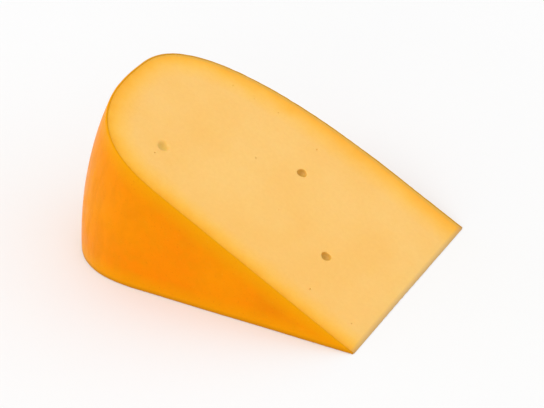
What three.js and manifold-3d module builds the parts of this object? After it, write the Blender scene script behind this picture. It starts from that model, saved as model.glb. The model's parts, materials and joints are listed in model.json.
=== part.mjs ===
// A wedge cut from a round, coated wheel of Gouda-type cheese.
//
// The frame: millimetres, +Z up. The wedge lies on one of its two cut faces, in the plane z = 0.
// +X points to its thin tip edge and -X to the outer wall of the wheel. The axis of the wheel
// that it was cut from runs along Y, so the flat sides of the wheel face -Y and +Y.
// The origin is at the middle of the footprint box, on the table.
import * as THREE from "three";
import { mergeVertices } from "three/addons/utils/BufferGeometryUtils.js";
import Module from "manifold-3d";

// ---- Driving dimensions ---------------------------------------------------------------------

const WHEEL_RADIUS = 175; // of a 12 kg wheel, at its widest ring
const FLAT_CROWN = 0.8; // how far the middle of each flat side stands proud of its edge

// Each shoulder is a quarter of a superellipse between a flat side and the widest ring. Its
// reach is its size along the radius and its rise is its size along the axis. A higher
// squareness keeps it closer to a square corner.
const NEAR_SHOULDER = { side: -1, reach: 49, rise: 59.5, squareness: 2.6 };
const FAR_SHOULDER = { side: 1, reach: 119, rise: 51, squareness: 2.4 };

const TIP_SETBACK = 26.5; // the tip edge of the wedge stops this far short of the wheel's axis
const CUT_ANGLE = THREE.MathUtils.degToRad(28.5); // between the two cut faces

const COAT_THICKNESS = 1.0;
const COAT_GAP = 0.3; // clearance between the coat and the paste

// Where the gas bubbles of the cheese open in its cut faces. fromTip is measured up the face
// from the tip edge, and along is measured from the widest ring, along the wheel's axis.
const UPPER_EYES = [
  { fromTip: 35.6, along: -22.8, radius: 2.4, depth: 2.8 },
  { fromTip: 68.0, along: 10.7, radius: 2.4, depth: 2.8 },
  { fromTip: 116.8, along: -33.2, radius: 4.2, depth: 1.2 },
];
const LOWER_EYES = [
  { fromTip: 48, along: 24, radius: 1.6, depth: 1.9 },
  { fromTip: 97, along: -34, radius: 1.9, depth: 2.3 },
  { fromTip: 118, along: 9, radius: 1.5, depth: 1.0 },
];

// Fineness of the faceted surfaces
const WHEEL_SEGMENTS = 240;
const FLAT_STEPS = 5;
const SHOULDER_STEPS = 14;
const EYE_SEGMENTS = 16;

// ---- Sizes that follow ----------------------------------------------------------------------

const WEDGE_LENGTH = WHEEL_RADIUS - TIP_SETBACK;
const AXIS_X = WEDGE_LENGTH / 2 + TIP_SETBACK;
const RING_Y = (NEAR_SHOULDER.rise - FAR_SHOULDER.rise) / 2;
const CUTTER_SIZE = 2 * WHEEL_RADIUS; // larger than the wheel in every direction

// ---- Solids ---------------------------------------------------------------------------------

const wasm = await Module();
wasm.setup();

// A closed geometry as a solid that can be joined and cut.
function toSolid(geometry) {
  geometry.deleteAttribute("normal");
  geometry.deleteAttribute("uv");
  const merged = mergeVertices(geometry);
  const corners = merged.index.array;
  const triangles = [];
  for (let i = 0; i < corners.length; i += 3) {
    const [a, b, c] = corners.subarray(i, i + 3);
    const collapsed = a === b || b === c || c === a;
    if (!collapsed) triangles.push(a, b, c);
  }
  return new wasm.Manifold(new wasm.Mesh({
    numProp: 3,
    vertProperties: new Float32Array(merged.attributes.position.array),
    triVerts: new Uint32Array(triangles),
  }));
}

function toMesh(name, solid, material) {
  const { vertProperties, triVerts } = solid.getMesh();
  const geometry = new THREE.BufferGeometry();
  geometry.setAttribute("position", new THREE.BufferAttribute(vertProperties, 3));
  geometry.setIndex(new THREE.BufferAttribute(triVerts, 1));
  geometry.computeVertexNormals();
  const mesh = new THREE.Mesh(geometry, material);
  mesh.name = name;
  return mesh;
}

// ---- The wheel ------------------------------------------------------------------------------

// One side of the wheel as points (radius, distance along the axis from the widest ring), from
// the axis out to the widest ring. The inset is how far inside the wheel's surface it lies.
function sideOutline(shoulder, inset) {
  const radius = WHEEL_RADIUS - inset;
  const reach = shoulder.reach - inset;
  const rise = shoulder.rise - inset;
  const exponent = 2 / shoulder.squareness;
  const crown = (r) => FLAT_CROWN * (1 - (r / radius) ** 2);
  const points = [];
  for (let i = 0; i < FLAT_STEPS; i++) {
    const r = (radius - reach) * (i / FLAT_STEPS);
    points.push(new THREE.Vector2(r, shoulder.side * (rise + crown(r))));
  }
  for (let i = 0; i < SHOULDER_STEPS; i++) {
    const turn = (Math.PI / 2) * (i / SHOULDER_STEPS);
    const r = radius - reach * (1 - Math.sin(turn) ** exponent);
    const height = Math.cos(turn) ** exponent;
    points.push(new THREE.Vector2(r, shoulder.side * height * (rise + crown(r))));
  }
  return points;
}

function wheel(inset) {
  const outline = [
    ...sideOutline(NEAR_SHOULDER, inset),
    new THREE.Vector2(WHEEL_RADIUS - inset, 0),
    ...sideOutline(FAR_SHOULDER, inset).reverse(),
  ];
  return toSolid(new THREE.LatheGeometry(outline, WHEEL_SEGMENTS));
}

// ---- The cut --------------------------------------------------------------------------------

// The space between the two planes of the cut: a triangular prism along the wheel's axis.
function cutSpace() {
  const outline = new THREE.Shape();
  outline.moveTo(-TIP_SETBACK, 0);
  outline.lineTo(-TIP_SETBACK - CUTTER_SIZE, CUTTER_SIZE * Math.tan(CUT_ANGLE));
  outline.lineTo(-TIP_SETBACK - CUTTER_SIZE, 0);
  const prism = new THREE.ExtrudeGeometry(outline, { depth: CUTTER_SIZE, bevelEnabled: false });
  prism.rotateX(Math.PI / 2);
  prism.translate(0, CUTTER_SIZE / 2, 0);
  return toSolid(prism);
}

// The bubbles that open in a cut face which rises at the given angle. Outwards is 1 for a
// face whose outside is above it and -1 for a face whose outside is below it.
function eyes(places, angle, outwards) {
  const upTheFace = new THREE.Vector3(-Math.cos(angle), 0, Math.sin(angle));
  const normal = new THREE.Vector3(Math.sin(angle), 0, Math.cos(angle)).multiplyScalar(outwards);
  return places.map(({ fromTip, along, radius, depth }) => {
    const centre = new THREE.Vector3(-TIP_SETBACK, along, 0);
    centre.addScaledVector(upTheFace, fromTip);
    centre.addScaledVector(normal, radius - depth);
    const bubble = new THREE.SphereGeometry(radius, EYE_SEGMENTS, EYE_SEGMENTS / 2);
    bubble.translate(...centre);
    return toSolid(bubble);
  });
}

// ---- The pieces -----------------------------------------------------------------------------

const pasteMaterial = new THREE.MeshStandardMaterial({ color: "#fcc770", roughness: 0.55, metalness: 0 });
const coatMaterial = new THREE.MeshStandardMaterial({ color: "#fb9200", roughness: 0.4, metalness: 0 });

const sector = cutSpace();
const openings = [...eyes(UPPER_EYES, CUT_ANGLE, 1), ...eyes(LOWER_EYES, 0, -1)];

let paste = wheel(COAT_THICKNESS + COAT_GAP).intersect(sector);
for (const opening of openings) paste = paste.subtract(opening);

const coat = wheel(0).subtract(wheel(COAT_THICKNESS)).intersect(sector);

// The pieces are shaped around the wheel's axis and its widest ring, then set on the table.
const wedge = new THREE.Group();
wedge.name = "cheese_wedge";
wedge.position.set(AXIS_X, RING_Y, 0);
wedge.add(toMesh("cheese_paste", paste, pasteMaterial));
wedge.add(toMesh("rind_coat", coat, coatMaterial));

const part = new THREE.Group();
part.add(wedge);

export default part;
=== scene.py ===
"""A wedge of coated Gouda-type cheese that lies on one of its cut faces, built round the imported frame."""
import json
import math

import bmesh
import bpy
import numpy as np
from mathutils import Euler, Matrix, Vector
from mathutils.geometry import delaunay_2d_cdt


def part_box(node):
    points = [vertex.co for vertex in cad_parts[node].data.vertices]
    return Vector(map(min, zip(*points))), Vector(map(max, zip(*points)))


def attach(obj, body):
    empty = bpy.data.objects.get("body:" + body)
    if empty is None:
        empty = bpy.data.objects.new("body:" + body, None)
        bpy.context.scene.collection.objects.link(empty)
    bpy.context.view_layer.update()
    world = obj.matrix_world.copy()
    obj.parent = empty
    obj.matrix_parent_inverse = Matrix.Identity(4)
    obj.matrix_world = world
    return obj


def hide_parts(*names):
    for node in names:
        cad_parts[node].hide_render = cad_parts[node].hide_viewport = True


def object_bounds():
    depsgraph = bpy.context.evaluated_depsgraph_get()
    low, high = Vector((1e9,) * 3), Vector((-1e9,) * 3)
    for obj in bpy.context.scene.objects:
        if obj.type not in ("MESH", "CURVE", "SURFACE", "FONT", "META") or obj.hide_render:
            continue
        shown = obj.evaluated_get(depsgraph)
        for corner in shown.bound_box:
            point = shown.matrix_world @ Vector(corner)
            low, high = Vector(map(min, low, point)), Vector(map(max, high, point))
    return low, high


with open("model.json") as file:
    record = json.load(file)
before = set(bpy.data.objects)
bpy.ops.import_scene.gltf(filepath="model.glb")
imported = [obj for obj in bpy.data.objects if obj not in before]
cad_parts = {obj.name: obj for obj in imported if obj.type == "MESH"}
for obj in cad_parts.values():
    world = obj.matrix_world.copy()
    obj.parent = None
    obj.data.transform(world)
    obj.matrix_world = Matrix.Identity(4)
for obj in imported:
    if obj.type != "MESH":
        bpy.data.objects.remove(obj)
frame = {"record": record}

MM = 0.001
CAD_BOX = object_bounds()

# ---- The wheel that the wedge was cut from, in metres ------------------------------------------

WHEEL_RADIUS = 175 * MM
FLAT_CROWN = 0.8 * MM  # how far the middle of each flat side stands proud of its edge
NEAR_SHOULDER = {"side": -1, "reach": 49 * MM, "rise": 59.5 * MM, "squareness": 2.6}
FAR_SHOULDER = {"side": 1, "reach": 119 * MM, "rise": 51 * MM, "squareness": 2.4}
COAT_THICKNESS = 1.0 * MM
PASTE_CLEARANCE = 0.02 * MM  # keeps the hidden faces of coat and paste apart

# Where the wedge lies comes from the frame.
LOW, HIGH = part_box("rind_coat")
TIP_X = HIGH.x
TIP_SETBACK = WHEEL_RADIUS - (HIGH.x - LOW.x)  # the tip edge stops this far short of the wheel's axis
AXIS_X = TIP_X + TIP_SETBACK
RING_Y = (NEAR_SHOULDER["rise"] - FAR_SHOULDER["rise"]) / 2  # of the wheel's widest ring
MOUNTS = {mount["name"]: mount for mount in frame["record"]["mounts"]}
UPPER_NORMAL = MOUNTS["upper_cut_face"]["axis"]
CUT_ANGLE = math.atan2(UPPER_NORMAL[0], UPPER_NORMAL[2])

# ---- Fineness of the meshes --------------------------------------------------------------------

STEP = 1.15 * MM  # spacing of the points on every visible surface
GRID_JITTER = 0.12  # of the points inside a cut face, as a share of the step
RIM_CLEARANCE = 0.6 * STEP  # of those points from the rim of the face
EYE_CLEARANCE = 0.4 * STEP  # of those points from the lip of an eye
EYE_SPACING = 0.35 * MM  # of the points round an eye
EYE_RING_GAP = 0.22 * MM  # between the rings of an eye's wall
PASTE_WALL_COLUMNS = 6  # from cut face to cut face, under the coat
COAT_COLUMNS = 64
COAT_INNER_COLUMNS = 8
TIP_TURNS = (0.2, 0.4, 0.6, 0.8)  # of the rows of points on the rounded tip edge, as shares of its curve

# ---- Finish of the surfaces --------------------------------------------------------------------

TIP_BLUNTING = 0.8 * MM  # where the tip edge starts to round over
TIP_CRUMBLING = 0.9  # about how much further back it starts at worst, as a share
EDGE_ROUNDING = 0.3 * MM  # of the coat where the knife went through it
COAT_LIP = 0.15 * MM  # how much is cut off the coat's inner corner beside the paste
COAT_RAGGEDNESS = 0.14 * MM  # how far the coat's cut edge wanders
PASTE_SHRINKAGE = 0.1 * MM  # how far the rim of the paste has sunk below the coat's cut edge
UNDERSIDE_HOLLOW = 0.12 * MM  # keeps the uneven lower cut face off the table
RIM_WEAR_REACH = 42 * MM  # how far in from the widest ring handling has worn the coat
FAR_RIPENING = 0.65  # how much further the deep colour of the rim reaches in on the far side

# How unevenly the knife left a cut face: wavelength, squeeze along the wheel's axis, height.
# The squeezed waves are the long drag lines.
KNIFE_WAVES = [(45 * MM, 1, 0.09 * MM), (2.6 * MM, 0.12, 0.022 * MM), (4 * MM, 1, 0.012 * MM)]

# How uneven the coat is: wavelength, depth.
COAT_DENTS = [(34 * MM, 0.1 * MM), (8 * MM, 0.03 * MM)]

# Eyes that open in each cut face: distance up the face from the tip edge, distance along the
# wheel's axis from its widest ring, radius, depth, and how far the opening is drawn out.
UPPER_EYES = [
    (35.6 * MM, -22.8 * MM, 2.4 * MM, 2.8 * MM, 1.1),
    (68.0 * MM, 10.7 * MM, 2.4 * MM, 2.8 * MM, 1.1),
    (116.8 * MM, -33.2 * MM, 4.2 * MM, 1.2 * MM, 1.08),
]
LOWER_EYES = [
    (48 * MM, 24 * MM, 1.6 * MM, 1.9 * MM, 1.1),
    (97 * MM, -34 * MM, 1.9 * MM, 2.3 * MM, 1.15),
    (118 * MM, 9 * MM, 1.5 * MM, 1.0 * MM, 1.05),
]
PINHOLES = 9  # tiny eyes in each cut face
EYE_LIP = [(0.9 * MM, 0), (0.45 * MM, 0.01 * MM), (0.18 * MM, 0.05 * MM)]  # distance out, depth
EYE_WALL_START = 0.04  # where an eye's wall begins under its lip, as a share of the way down
EYE_SHADE_START = 0.06 * MM  # only what lies deeper than this takes the painted shade of an eye

# Seeds of everything random. A cut face also uses the numbers that follow its own.
TIP_SEED = 3
LOWER_FACE_SEED = 20
UPPER_FACE_SEED = 40
COAT_DENT_SEED = 60
COAT_EDGE_SEEDS = (62, 63)


# ---- Small helpers -----------------------------------------------------------------------------

def waves(points, wavelength, seed, count=7):
    """A smooth random field over points, mostly from -1 to 1, with features of about one wavelength."""
    rng = np.random.default_rng(seed)
    directions = rng.normal(size=(count, points.shape[1]))
    directions /= np.linalg.norm(directions, axis=1, keepdims=True)
    lengths = wavelength * rng.uniform(0.7, 1.5, count)
    phases = rng.uniform(0, 2 * math.pi, count)
    total = np.sin(2 * math.pi * (points @ directions.T) / lengths + phases).sum(axis=1)
    contrast = 1.6  # because waves that cross seldom all peak together
    return total / count * contrast


def smooth_step(value, low, high):
    """From 0 at low to 1 at high, with soft ends. Low may be the larger of the two."""
    t = np.clip((value - low) / (high - low), 0, 1)
    return t * t * (3 - 2 * t)


def unit(vectors):
    return vectors / np.linalg.norm(vectors, axis=-1, keepdims=True)


def strips(rows):
    """Four-sided faces between each row of point numbers and the next."""
    return [
        [a[j], a[j + 1], b[j + 1], b[j]]
        for a, b in zip(rows, rows[1:])
        for j in range(len(a) - 1)
    ]


class Points:
    """Blocks of points that are numbered on from each other."""

    def __init__(self):
        self.blocks = []

    def add(self, block):
        """Adds a block and returns the numbers of its points."""
        first = sum(len(earlier) for earlier in self.blocks)
        self.blocks.append(block)
        return range(first, first + len(block))


def make_piece(name, vertices, faces, material, sharp_angle, **attributes):
    """A mesh object from arrays, with one float attribute for each keyword."""
    mesh = bpy.data.meshes.new(name)
    on_or_above_table = np.maximum(vertices, [-math.inf, -math.inf, 0])
    mesh.from_pydata(on_or_above_table.tolist(), [], faces)
    for key, values in attributes.items():
        layer = mesh.attributes.new(key, "FLOAT", "POINT")
        layer.data.foreach_set("value", np.asarray(values, dtype=np.float32))
    surface = bmesh.new()
    surface.from_mesh(mesh)
    bmesh.ops.recalc_face_normals(surface, faces=surface.faces)
    surface.to_mesh(mesh)
    surface.free()
    mesh.shade_smooth()
    mesh.set_sharp_from_angle(angle=math.radians(sharp_angle))
    mesh.materials.append(material)
    piece = bpy.data.objects.new(name, mesh)
    bpy.context.scene.collection.objects.link(piece)
    return piece


# ---- The wheel's outline -----------------------------------------------------------------------

def crown(r):
    return FLAT_CROWN * (1 - (r / WHEEL_RADIUS) ** 2)


def shoulder_curve(shoulder, turn, inset):
    """Radius and place along the axis, as turn goes from the flat's edge to the widest ring."""
    exponent = 2 / shoulder["squareness"]
    r = WHEEL_RADIUS - inset - (shoulder["reach"] - inset) * (1 - np.sin(turn) ** exponent)
    height = np.abs(np.cos(turn)) ** exponent
    return r, shoulder["side"] * height * (shoulder["rise"] - inset + crown(r))


def even_turns(shoulder):
    """The turns whose points lie one step apart along the shoulder, by measuring along a finer curve."""
    samples = 600
    turn = np.linspace(0, math.pi / 2, samples)
    r, y = shoulder_curve(shoulder, turn, 0)
    length = np.concatenate([[0], np.cumsum(np.hypot(np.diff(r), np.diff(y)))])
    return np.interp(np.linspace(0, length[-1], round(length[-1] / STEP) + 1), length, turn)


def half_outline(shoulder, inset):
    """From the tip out along the flat side, and over the shoulder to the widest ring."""
    flat_start = TIP_SETBACK + TIP_BLUNTING
    flat_end = WHEEL_RADIUS - shoulder["reach"]
    flat_r = np.linspace(flat_start, flat_end, round((flat_end - flat_start) / STEP) + 1)[:-1]
    flat_y = shoulder["side"] * (shoulder["rise"] - inset + crown(flat_r))
    turned_r, turned_y = shoulder_curve(shoulder, even_turns(shoulder), inset)
    return np.concatenate([flat_r, turned_r]), np.concatenate([flat_y, turned_y])


def outline(inset):
    """Radius and place along the axis, from the tip's near end round the rim to its far end."""
    near_r, near_y = half_outline(NEAR_SHOULDER, inset)
    far_r, far_y = half_outline(FAR_SHOULDER, inset)
    return np.concatenate([near_r, far_r[-2::-1]]), np.concatenate([near_y, far_y[-2::-1]])


def upper_angle(r):
    """The angle about the wheel's axis at which the upper cut plane crosses each radius."""
    return CUT_ANGLE - np.arcsin(TIP_SETBACK * math.sin(CUT_ANGLE) / r)


def on_wheel(r, y, angle):
    """Points of the wheel in the part's frame. The angle is counted from the lower cut face."""
    return np.stack([AXIS_X - r * np.cos(angle), RING_Y + y, r * np.sin(angle)], axis=-1)


def on_face(up, along, angle, depth):
    """Points on or under a cut face: distance up it from the tip edge, along the axis, and deep."""
    outwards = -1 if angle == 0 else 1
    normal = np.array([math.sin(angle), 0, math.cos(angle)]) * outwards
    points = np.stack([TIP_X - up * math.cos(angle), RING_Y + along, up * math.sin(angle)], axis=-1)
    return points - np.asarray(depth)[..., None] * normal


def up_the_face(r, angle):
    """Where a radius meets a cut face, as the distance up the face from the tip edge."""
    return np.sqrt(r ** 2 - (TIP_SETBACK * math.sin(angle)) ** 2) - TIP_SETBACK * math.cos(angle)


# ---- Cut faces of the paste --------------------------------------------------------------------
# Places on a cut face are 2-D: the distance up it from the tip edge, and along the wheel's axis.

def inside(points, loop):
    """Which 2-D points lie inside a closed loop, by counting the crossings to one side."""
    x, y = points[:, :1], points[:, 1:]
    ax, ay = loop[:, 0], loop[:, 1]
    bx, by = np.roll(ax, -1), np.roll(ay, -1)
    straddles = (ay > y) != (by > y)
    rise = np.where(by == ay, 1, by - ay)
    crossing = ax + (y - ay) * (bx - ax) / rise
    return (straddles & (x < crossing)).sum(axis=1) % 2 == 1


def distance_to(points, targets):
    """From each 2-D point to the nearest target."""
    return np.array([np.hypot(*(targets - point).T).min() for point in points])


def eye_points(eye, seed):
    """An eye's lip, its opening and its round wall, as flat places, real places and depths.

    The wall of a deep eye widens below its opening. The flat places, which only serve to make the
    triangles, run evenly in to its middle instead.
    """
    up, along, radius, depth, stretch = eye
    rng = np.random.default_rng(seed)
    sides = max(10, round(2 * math.pi * radius / EYE_SPACING))
    rings = max(3, round(radius / EYE_RING_GAP))
    offset = depth - radius  # of the bubble's centre below the face
    opening = math.sqrt(radius ** 2 - offset ** 2)
    around = np.linspace(0, 2 * math.pi, sides, endpoint=False)
    oval = 0.05 * np.sin(2 * around + rng.uniform(0, 6))
    three_cornered = 0.04 * np.sin(3 * around + rng.uniform(0, 6))
    tilt = math.pi / 2 + rng.uniform(-0.3, 0.3)  # drawn out roughly along the wheel's axis
    shape = np.stack([stretch * np.cos(around), np.sin(around) / stretch]) * (1 + oval + three_cornered)
    turn = np.array([[math.cos(tilt), -math.sin(tilt)], [math.sin(tilt), math.cos(tilt)]])
    loop = (turn @ shape).T

    flat, real, depths = [], [], []
    for beyond, sunk in EYE_LIP:
        flat.append(loop * (opening + beyond))
        real.append(loop * (opening + beyond))
        depths.append(np.full(sides, sunk))
    lip_angle = math.acos(np.clip(offset / radius, -1, 1))  # seen from the bubble's centre
    for i in range(rings):
        way_down = EYE_WALL_START + (1 - EYE_WALL_START) * i / rings
        polar = lip_angle + (math.pi - lip_angle) * way_down
        flat.append(loop * opening * (1 - i / rings))
        real.append(loop * radius * math.sin(polar))
        depths.append(np.full(sides, offset - radius * math.cos(polar)))
    flat.append(np.zeros((1, 2)))
    real.append(np.zeros((1, 2)))
    depths.append(np.array([depth]))
    place = np.array([up, along])
    return np.concatenate(flat) + place, np.concatenate(real) + place, np.concatenate(depths)


def scatter_pinholes(rim, eyes, seed):
    """Tiny eyes in random places, clear of the rim, of the real eyes and of each other."""
    rim_gap, eye_gap = 5 * MM, 6 * MM
    rng = np.random.default_rng(seed)
    found = []
    while len(found) < PINHOLES:
        place = rng.uniform(rim.min(axis=0), rim.max(axis=0))
        taken = np.array([eye[:2] for eye in eyes + found])
        clear_of_rim = inside(place[None], rim)[0] and distance_to(place[None], rim)[0] > rim_gap
        if clear_of_rim and distance_to(place[None], taken)[0] > eye_gap:
            radius = rng.uniform(0.25, 0.5) * MM
            depth = radius * rng.uniform(0.9, 1.4)
            found.append((*place, radius, depth, rng.uniform(1, 1.3)))
    return found


def face_grid(rim, seed):
    """Slightly jittered points in staggered rows over a cut face, clear of its rim."""
    low, high = rim.min(axis=0), rim.max(axis=0)
    rows = []
    for i, up in enumerate(np.arange(low[0], high[0], STEP * math.sqrt(3) / 2)):
        along = np.arange(low[1] + STEP * (i % 2) / 2, high[1], STEP)
        rows.append(np.stack([np.full(len(along), up), along], axis=1))
    grid = np.concatenate(rows)
    grid += np.random.default_rng(seed).uniform(-GRID_JITTER, GRID_JITTER, grid.shape) * STEP
    grid = grid[inside(grid, rim)]
    return grid[distance_to(grid, rim) > RIM_CLEARANCE]


def triangulate(places, rim):
    """Triangles between 2-D places, inside the rim. The rim's own places come first."""
    scale = 1000  # the triangulation works best with numbers that aren't tiny
    scaled = [Vector(place * scale) for place in places]
    rim_edges = [(i, (i + 1) % len(rim)) for i in range(len(rim))]
    _, _, triangles, origins, *_ = delaunay_2d_cdt(scaled, rim_edges, [], 0, 1e-5, True)
    numbers = np.array([origin[0] for origin in origins])
    corners = numbers[np.array(triangles)]
    return corners[inside(places[corners].mean(axis=1), rim)].tolist()


def cut_face(rim, eyes, seed):
    """One cut face as real places, depths and triangles. The places of its rim come first."""
    eyes = eyes + scatter_pinholes(rim, eyes, seed + 5)
    grid = face_grid(rim, seed)
    shaped_eyes = [eye_points(eye, seed + 10 + i) for i, eye in enumerate(eyes)]
    for eye, (eye_flat, *_) in zip(eyes, shaped_eyes):
        centre = np.array(eye[:2])
        reach = np.hypot(*(eye_flat - centre).T).max()
        grid = grid[np.hypot(*(grid - centre).T) > reach + EYE_CLEARANCE]
    eye_flats, eye_reals, eye_depths = zip(*shaped_eyes)
    flat = np.concatenate([rim, grid, *eye_flats])
    real = np.concatenate([rim, grid, *eye_reals])
    depth = np.concatenate([np.zeros(len(rim) + len(grid)), *eye_depths])
    return real, depth, triangulate(flat, rim)


def knife_relief(places, rim_distance, seed):
    """How deep the knife left each place of a cut face, which is nothing at its rim."""
    relief = sum(
        waves(places * np.array([1, squeeze]), wavelength, seed + i) * height
        for i, (wavelength, squeeze, height) in enumerate(KNIFE_WAVES)
    )
    return relief * smooth_step(rim_distance, 0, 3 * MM)


# ---- The paste ---------------------------------------------------------------------------------

def crumbled_tip(edge_y):
    """Where the tip edge starts to round over: places along the axis, and up both cut faces.

    It runs from the far side back to the near side, and it is most crumbled in its middle.
    """
    length = edge_y[-1] - edge_y[0]
    tip_y = np.linspace(edge_y[-1], edge_y[0], round(length / STEP) + 1)[1:-1]
    towards_middle = smooth_step(np.abs(tip_y - tip_y.mean()), tip_y.max(), 0)
    crumble = np.abs(waves(tip_y[:, None], 9 * MM, TIP_SEED)) * towards_middle
    lower_tip = TIP_BLUNTING * (1 + TIP_CRUMBLING * crumble)
    upper_tip = up_the_face(TIP_SETBACK + lower_tip, CUT_ANGLE)
    return tip_y, lower_tip, upper_tip


def rind_depths(vertices, edge_r, edge_y):
    """How far under the coat each point lies, counted as less where the rim has ripened deeper."""
    r = np.hypot(vertices[:, 0] - AXIS_X, vertices[:, 2])
    section = np.stack([r, vertices[:, 1] - RING_Y], axis=1)
    numbers = range(len(edge_r))
    finer = np.linspace(0, len(edge_r) - 1, 4 * len(edge_r))
    edge = np.stack([np.interp(finer, numbers, edge_r), np.interp(finer, numbers, edge_y)], axis=1)
    ripened_deeper = 1 + FAR_RIPENING * smooth_step(section[:, 1], 0, FAR_SHOULDER["rise"])
    return distance_to(section, edge) / ripened_deeper


def build_paste(material):
    edge_r, edge_y = outline(COAT_THICKNESS + PASTE_CLEARANCE)
    edge_count = len(edge_r)
    tip_y, lower_tip, upper_tip = crumbled_tip(edge_y)
    tip_row = [edge_count - 1, *range(edge_count, edge_count + len(tip_y)), 0]

    points = Points()
    faces = []
    face_numbers = []
    eye_depths = []
    for angle, tip_up, eyes, seed in (
        (0, lower_tip, LOWER_EYES, LOWER_FACE_SEED),
        (CUT_ANGLE, upper_tip, UPPER_EYES, UPPER_FACE_SEED),
    ):
        edge_up = up_the_face(edge_r, angle)
        rim = np.stack([np.concatenate([edge_up, tip_up]), np.concatenate([edge_y, tip_y])], axis=1)
        places, depth, triangles = cut_face(rim, eyes, seed)
        rim_distance = distance_to(places, rim)
        sunk = knife_relief(places, rim_distance, seed)
        if angle == 0:
            sunk += UNDERSIDE_HOLLOW * smooth_step(rim_distance, 0, 4 * MM)
        away_from_tip = smooth_step(edge_r, TIP_SETBACK, TIP_SETBACK + 6 * MM)
        sunk[:edge_count] += PASTE_SHRINKAGE * away_from_tip
        numbers = points.add(on_face(places[:, 0], places[:, 1], angle, depth + sunk))
        faces += [[numbers[corner] for corner in triangle] for triangle in triangles]
        face_numbers.append(numbers)
        eye_depths.append(np.where(depth > EYE_SHADE_START, depth, 0))
    lower, upper = face_numbers

    # The side wall that the coat covers
    wall_rows = [
        points.add(on_wheel(edge_r, edge_y, upper_angle(edge_r) * k / PASTE_WALL_COLUMNS))
        for k in range(1, PASTE_WALL_COLUMNS)
    ]
    wall_rows = [lower[:edge_count], *wall_rows, upper[:edge_count]]
    faces += strips(wall_rows)

    # The rounded tip edge, tangent to both cut faces
    lower_start, upper_start = (block[tip_row] for block in points.blocks[:2])
    corner_y = np.array([edge_y[-1], *tip_y, edge_y[0]])
    corner = on_face(np.zeros(len(tip_row)), corner_y, 0, np.zeros(len(tip_row)))
    tip_rows = [
        points.add((1 - t) ** 2 * lower_start + 2 * t * (1 - t) * corner + t ** 2 * upper_start)
        for t in TIP_TURNS
    ]
    tip_rows = [[lower[i] for i in tip_row], *tip_rows, [upper[i] for i in tip_row]]
    faces += strips(tip_rows)

    # What closes the tip edge at its near end and at its far end
    for edge_end, tip_end in ((0, -1), (edge_count - 1, 0)):
        up_the_wall = [row[edge_end] for row in wall_rows]
        down_the_tip = [row[tip_end] for row in tip_rows[-2:0:-1]]
        faces.append(up_the_wall + down_the_tip)

    vertices = np.concatenate(points.blocks)
    eye_depth = np.zeros(len(vertices))
    eye_depth[:len(lower) + len(upper)] = np.concatenate(eye_depths)
    return make_piece(
        "ripened_paste", vertices, faces, material, sharp_angle=40,
        rind_depth=rind_depths(vertices, edge_r, edge_y) / MM,
        eye_depth=eye_depth / MM,
    )


# ---- The coat ----------------------------------------------------------------------------------

def build_coat(material):
    outer_r, outer_y = outline(0)
    inner_r, inner_y = outline(COAT_THICKNESS)
    slope_r, slope_y = np.gradient(outer_r), np.gradient(outer_y)
    steepness = np.hypot(slope_r, slope_y)
    normal_r, normal_y = slope_y / steepness, -slope_r / steepness

    def dented(angle):
        """Points of the outer surface, moved inwards by the coat's unevenness and never outwards."""
        points = on_wheel(outer_r, outer_y, angle)
        outwards = np.stack([-normal_r * np.cos(angle), normal_y, normal_r * np.sin(angle)], axis=-1)
        dents = sum(
            depth * (1 + waves(points, wavelength, COAT_DENT_SEED + i))
            for i, (wavelength, depth) in enumerate(COAT_DENTS)
        )
        return points - np.maximum(dents, 0)[:, None] * outwards

    # The two cut edges wander a little. Where the coat thins out at the tip, all of this shrinks.
    places = np.stack([outer_r, outer_y], axis=1)
    height = outer_r * upper_angle(outer_r)
    rounding = np.minimum(EDGE_ROUNDING, 0.3 * height)
    wander = np.minimum(COAT_RAGGEDNESS, 0.1 * height)
    ragged = [np.abs(waves(places, 5 * MM, seed)) * wander for seed in COAT_EDGE_SEEDS]
    low = ragged[0] / outer_r
    high = upper_angle(outer_r) - ragged[1] / outer_r

    def cut_edge(corner_angle, surface_angle, inner_angle):
        """Across a cut: round the outer corner, over the flat edge, and down beside the paste."""
        corner = dented(corner_angle)
        inner = on_wheel(inner_r, inner_y, inner_angle)
        across = unit(inner - corner)
        down = unit(dented(surface_angle) - corner)
        edge = []
        for turn in np.radians([30, 60, 90]):
            step = (1 - math.sin(turn)) * down + (1 - math.cos(turn)) * across
            edge.append(corner + rounding[:, None] * step)
        lip = np.minimum(COAT_LIP, rounding)[:, None]
        edge.append(inner - lip * across)
        edge.append(inner + lip * down)
        return edge

    first_angle = low + rounding / outer_r
    last_angle = high - rounding / outer_r
    blocks = []
    cut_distance = []
    for k in range(COAT_COLUMNS + 1):
        angle = first_angle + (last_angle - first_angle) * k / COAT_COLUMNS
        blocks.append(dented(angle))
        cut_distance.append(np.minimum(angle, upper_angle(outer_r) - angle) * outer_r)
    upper_edge = cut_edge(high, last_angle, upper_angle(inner_r))
    lower_edge = cut_edge(low, first_angle, 0 * inner_r)
    inside_rows = [
        on_wheel(inner_r, inner_y, upper_angle(inner_r) * (1 - k / COAT_INNER_COLUMNS))
        for k in range(1, COAT_INNER_COLUMNS)
    ]
    blocks += upper_edge + inside_rows + lower_edge[::-1]
    cut_distance += [np.zeros(len(outer_r))] * (len(blocks) - len(cut_distance))

    points = Points()
    rows = [points.add(block) for block in blocks]
    faces = strips(rows + rows[:1])
    for end in (0, -1):  # the coat's two ends at the tip
        faces.append([row[end] for row in rows])
    rim_wear = smooth_step(outer_r, WHEEL_RADIUS - RIM_WEAR_REACH, WHEEL_RADIUS)
    return make_piece(
        "brushed_on_coat", np.concatenate(points.blocks), faces, material, sharp_angle=50,
        cut_distance=np.concatenate(cut_distance) / MM,
        rim_wear=np.tile(rim_wear, len(rows)),
    )


# ---- Materials ---------------------------------------------------------------------------------

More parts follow.
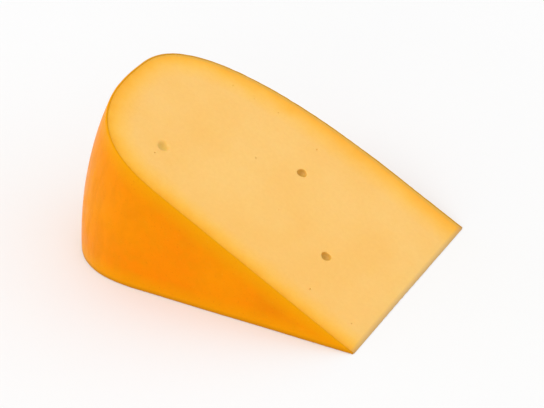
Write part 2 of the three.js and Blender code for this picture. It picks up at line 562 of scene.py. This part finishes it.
def srgb(red, green, blue):
    """A colour as it shows on a screen, 0 to 255, as the light values that Blender works in."""
    def light(value):
        value /= 255
        return value / 12.92 if value <= 0.04045 else ((value + 0.055) / 1.055) ** 2.4
    return (light(red), light(green), light(blue), 1)


def grey(value):
    return (value, value, value, 1)


class Shader:
    """A material's node tree, with short calls for the nodes used here."""

    def __init__(self, name, **surface):
        self.material = bpy.data.materials.new(name)
        self.material.use_nodes = True
        self.tree = self.material.node_tree
        self.surface = self.tree.nodes["Principled BSDF"]
        for key, value in surface.items():
            self.surface.inputs[key.replace("_", " ")].default_value = value

    def add(self, kind, inputs, output=0, **settings):
        made = self.tree.nodes.new(kind)
        for key, value in settings.items():
            setattr(made, key, value)
        for key, value in inputs.items():
            socket = made.inputs[key]
            if isinstance(value, bpy.types.NodeSocket):
                self.tree.links.new(value, socket)
            else:
                socket.default_value = value
        return made.outputs[output]

    def place(self, squeeze=(1, 1, 1)):
        """The part's own frame in metres. Features are drawn out along an axis with a squeeze below 1."""
        coordinates = self.add("ShaderNodeTexCoord", {}, output="Object")
        return self.add("ShaderNodeMapping", {"Vector": coordinates, "Scale": squeeze})

    def along(self, axis):
        """The place along one axis of the part's frame, in metres."""
        return self.add("ShaderNodeSeparateXYZ", {"Vector": self.place()}, output=axis)

    def noise(self, size, detail=3, roughness=0.5, place=None):
        """A noise from 0 to 1 with features of about the given size in metres."""
        place = place or self.place()
        inputs = {"Vector": place, "Scale": 1 / size, "Detail": detail, "Roughness": roughness}
        return self.add("ShaderNodeTexNoise", inputs, output="Fac")

    def attribute(self, name):
        return self.add("ShaderNodeAttribute", {}, output="Fac", attribute_name=name)

    def remap(self, value, low, high, to_low=0.0, to_high=1.0):
        inputs = {"Value": value, "From Min": low, "From Max": high, "To Min": to_low, "To Max": to_high}
        return self.add("ShaderNodeMapRange", inputs)

    def maths(self, operation, a, b):
        return self.add("ShaderNodeMath", {0: a, 1: b}, operation=operation)

    def mix(self, factor, a, b, blend="MIX"):
        inputs = {0: factor, 6: a, 7: b}
        return self.add("ShaderNodeMix", inputs, output=2, data_type="RGBA", blend_type=blend)

    def tinted(self, base, factor, tint):
        """The base colour, multiplied by a tint where the factor is high."""
        return self.mix(factor, base, self.mix(1.0, base, srgb(*tint), "MULTIPLY"))

    def layered(self, base, layers):
        """The base colour with layers of (factor, colour) over it, each over the one before."""
        for factor, colour in layers:
            base = self.mix(factor, base, srgb(*colour))
        return base

    def ramp(self, value, stops):
        """A colour ramp through stops of (position, colour)."""
        made = self.tree.nodes.new("ShaderNodeValToRGB")
        elements = made.color_ramp.elements
        while len(elements) < len(stops):
            elements.new(0.5)
        for element, (position, colour) in zip(elements, stops):
            element.position = position
            element.color = srgb(*colour)
        self.tree.links.new(value, made.inputs["Fac"])
        return made.outputs["Color"]

    def bump(self, height, distance, below=None):
        inputs = {"Height": height, "Distance": distance}
        if below is not None:
            inputs["Normal"] = below
        return self.add("ShaderNodeBump", inputs)

    def drive(self, **sockets):
        for key, value in sockets.items():
            self.tree.links.new(value, self.surface.inputs[key.replace("_", " ")])


RIPENED_DEPTH = 12  # how far under the coat the paste still deepens in colour, in millimetres
RIPENED_COLOURS = [  # from right under the coat to where the paste is pale
    (0.0, (243, 168, 16)),
    (0.12, (246, 177, 36)),
    (0.32, (246, 186, 64)),
    (0.62, (245, 192, 90)),
    (1.0, (243, 194, 107)),
]


def paste_material():
    """Pale, moist, slightly translucent cheese that deepens in its last few millimetres."""
    shader = Shader("paste", Subsurface_Weight=0.25, Subsurface_Scale=4 * MM, Specular_IOR_Level=0.35)
    shader.surface.inputs["Subsurface Radius"].default_value = (1.0, 0.55, 0.2)

    rind_depth = shader.attribute("rind_depth")
    wander = shader.remap(shader.noise(9 * MM, 2), 0.3, 0.7, -0.7, 0.7)
    ripeness = shader.remap(shader.maths("ADD", rind_depth, wander), 0, RIPENED_DEPTH)
    base = shader.ramp(ripeness, RIPENED_COLOURS)
    clouds = shader.remap(shader.noise(32 * MM, 2), 0.35, 0.65)
    base = shader.tinted(base, clouds, (254, 248, 232))
    curd = shader.remap(shader.noise(1.8 * MM, 4, 0.6), 0.35, 0.65)
    base = shader.tinted(base, curd, (253, 251, 247))

    # Painted shade: the paste turns darker and more golden deeper in each eye, standing in for the shade
    # inside the hole.
    eye_depth = shader.attribute("eye_depth")
    shade_in_an_eye = shader.remap(eye_depth, 0.05, 0.9)
    shade_deep_in_an_eye = shader.remap(eye_depth, 1.4, 2.6)
    # Painted shade: a darker, browner band along the paste's rim on the far side, where the cut edge turns
    # away from the light.
    on_far_side = shader.remap(shader.along("Y"), 0, 35 * MM, 0, 0.75)
    shaded_far_rim = shader.maths("MULTIPLY", shader.remap(rind_depth, 0.3, 1.5, 1, 0), on_far_side)
    # Painted shade: the paste turns darker and browner over the last millimetres to the tip edge, standing
    # in for the shade under its rounded edge.
    shaded_tip_edge = shader.remap(shader.along("X"), TIP_X - 2.4 * MM, TIP_X - 0.7 * MM, 0, 0.66)
    base = shader.layered(base, [
        (shade_in_an_eye, (222, 176, 80)),
        (shade_deep_in_an_eye, (222, 180, 76)),
        (shaded_far_rim, (216, 164, 60)),
        (shaded_tip_edge, (192, 146, 98)),
    ])
    dryness = shader.remap(shader.noise(6 * MM, 3), 0.3, 0.7, 0.42, 0.58)

    drag = shader.noise(1.3 * MM, 3, 0.6, shader.place(squeeze=(1, 0.07, 1)))
    grain = shader.noise(0.6 * MM, 3, 0.6)
    relief = shader.bump(grain, 0.035 * MM, below=shader.bump(drag, 0.09 * MM))
    shader.drive(Base_Color=base, Roughness=dryness, Normal=relief)
    return shader.material


def coat_material():
    """Satin orange coating, brushed on and slightly cloudy, thinner and yellower at the cut."""
    shader = Shader("coat", Subsurface_Weight=0.05, Subsurface_Scale=1.5 * MM, Specular_IOR_Level=0.06)
    shader.surface.inputs["Subsurface Radius"].default_value = (1.0, 0.4, 0.1)
    shader.surface.inputs["Specular Tint"].default_value = (1.0, 0.6, 0.15, 1)

    clouds = shader.remap(shader.noise(40 * MM, 3), 0.3, 0.7)
    base = shader.mix(clouds, srgb(239, 129, 0), srgb(237, 141, 0))
    patches = shader.remap(shader.noise(13 * MM, 3, 0.6), 0.35, 0.65, 0.5, 1)
    worn = shader.maths("MULTIPLY", shader.attribute("rim_wear"), patches)
    around_wheel = shader.place(squeeze=(0.12, 1, 0.12))
    streaks = shader.remap(shader.noise(2.2 * MM, 3, 0.6, around_wheel), 0.45, 0.75, 0, 0.7)
    blotches = shader.remap(shader.noise(6 * MM, 4, 0.6), 0.45, 0.75, 0, 0.6)
    cut_distance = shader.attribute("cut_distance")
    thin = shader.remap(cut_distance, 0, 9, 0.95, 0)
    pores = shader.remap(shader.noise(0.8 * MM, 3, 0.6), 0.62, 0.72, 0, 0.4)
    along_axis = shader.place(squeeze=(1, 0.1, 1))
    scuffs = shader.remap(shader.noise(1.1 * MM, 2, 0.7, along_axis), 0.66, 0.74, 0, 0.6)
    # Painted shade: the coat's cut edge turns darker ochre towards the far side, standing in for an edge
    # turned away from the light.
    on_far_side = shader.remap(shader.along("Y"), -20 * MM, 30 * MM, 0.08, 0.9)
    shaded_far_cut_edge = shader.maths("MULTIPLY", shader.remap(cut_distance, 0.1, 0.9, 1, 0), on_far_side)
    # Painted shadow: the coat turns darker brown in its lowest two millimetres, standing in for the contact
    # shadow at the table.
    contact_shadow_at_foot = shader.remap(shader.along("Z"), 0.4 * MM, 2.3 * MM, 0.72, 0)
    base = shader.layered(base, [
        (worn, (238, 150, 8)),
        (streaks, (222, 128, 0)),
        (blotches, (226, 136, 0)),
        (thin, (231, 153, 2)),
        (pores, (204, 106, 0)),
        (scuffs, (238, 162, 46)),
        (shaded_far_cut_edge, (198, 144, 36)),
        (contact_shadow_at_foot, (184, 118, 10)),
    ])
    wear = shader.remap(shader.noise(11 * MM, 4, 0.6), 0.3, 0.7, 0.34, 0.52)

    brushed = shader.noise(1.4 * MM, 3, 0.6, shader.place(squeeze=(0.25, 1, 1)))
    orange_peel = shader.noise(2.2 * MM, 2, 0.5)
    relief = shader.bump(orange_peel, 0.1 * MM, below=shader.bump(brushed, 0.08 * MM))
    shader.drive(Base_Color=base, Roughness=wear, Normal=relief)
    return shader.material


def floor_material():
    """A plain pale studio floor, with the slightest cloudiness."""
    shader = Shader("studio_floor", Roughness=0.8, Specular_IOR_Level=0.1)
    clouds = shader.remap(shader.noise(0.4, 2), 0.3, 0.7)
    shader.drive(Base_Color=shader.mix(clouds, grey(0.81), grey(0.83)))
    return shader.material


# ---- Studio ------------------------------------------------------------------------------------
# Azimuth 0 is in front of the near flat side. Angles are in degrees, the lens is in millimetres.

FLOOR_SIZE = 60.0  # metres, so that the horizon lies far off
SKY_STRENGTH = 0.94
KEY_LIGHT = {"azimuth": -35, "elevation": 50, "spread": 40, "strength": 1.05}
CAMERA = {"azimuth": 27.2, "elevation": 30.5, "roll": 0.6, "distance": 0.924, "lens": 143}
MIDDLE = (CAD_BOX[0] + CAD_BOX[1]) / 2
CAMERA_AIM = MIDDLE + Vector((8, -0.5, -13)) * MM


def point_at(thing, target, azimuth, elevation, distance):
    """Stands off from a target and faces it, as cameras and lamps do, along its own -Z."""
    a, e = math.radians(azimuth), math.radians(elevation)
    back = Vector((math.sin(a) * math.cos(e), -math.cos(a) * math.cos(e), math.sin(e)))
    thing.location = target + back * distance
    thing.rotation_mode = "QUATERNION"
    thing.rotation_quaternion = (-back).to_track_quat("-Z", "Y")


def build_floor():
    bpy.ops.mesh.primitive_plane_add(size=FLOOR_SIZE)
    floor = bpy.context.object
    floor.name = "floor"
    floor.data.materials.append(floor_material())


def build_sky():
    world = bpy.data.worlds.new("studio")
    world.use_nodes = True
    background = world.node_tree.nodes["Background"]
    background.inputs["Color"].default_value = (1, 1, 1, 1)
    background.inputs["Strength"].default_value = SKY_STRENGTH
    bpy.context.scene.world = world


def build_key_light():
    """A broad distant light, even over the whole floor."""
    lamp = bpy.data.lights.new("key", "SUN")
    lamp.angle = math.radians(KEY_LIGHT["spread"])
    lamp.energy = KEY_LIGHT["strength"]
    light = bpy.data.objects.new("key", lamp)
    bpy.context.scene.collection.objects.link(light)
    point_at(light, MIDDLE, KEY_LIGHT["azimuth"], KEY_LIGHT["elevation"], distance=2)


def build_camera():
    lens = bpy.data.cameras.new("camera")
    lens.lens = CAMERA["lens"]
    lens.sensor_width = 36
    camera = bpy.data.objects.new("camera", lens)
    bpy.context.scene.collection.objects.link(camera)
    point_at(camera, CAMERA_AIM, CAMERA["azimuth"], CAMERA["elevation"], CAMERA["distance"])
    roll = Euler((0, 0, math.radians(CAMERA["roll"]))).to_quaternion()
    camera.rotation_quaternion = camera.rotation_quaternion @ roll
    bpy.context.scene.camera = camera


# ---- The scene ---------------------------------------------------------------------------------

paste = build_paste(paste_material())
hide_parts("cheese_paste")
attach(paste, "root")

coat = build_coat(coat_material())
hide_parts("rind_coat")
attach(coat, "root")

build_floor()
build_sky()
build_key_light()
build_camera()
bpy.context.scene.view_settings.view_transform = "Standard"

bpy.context.view_layer.update()
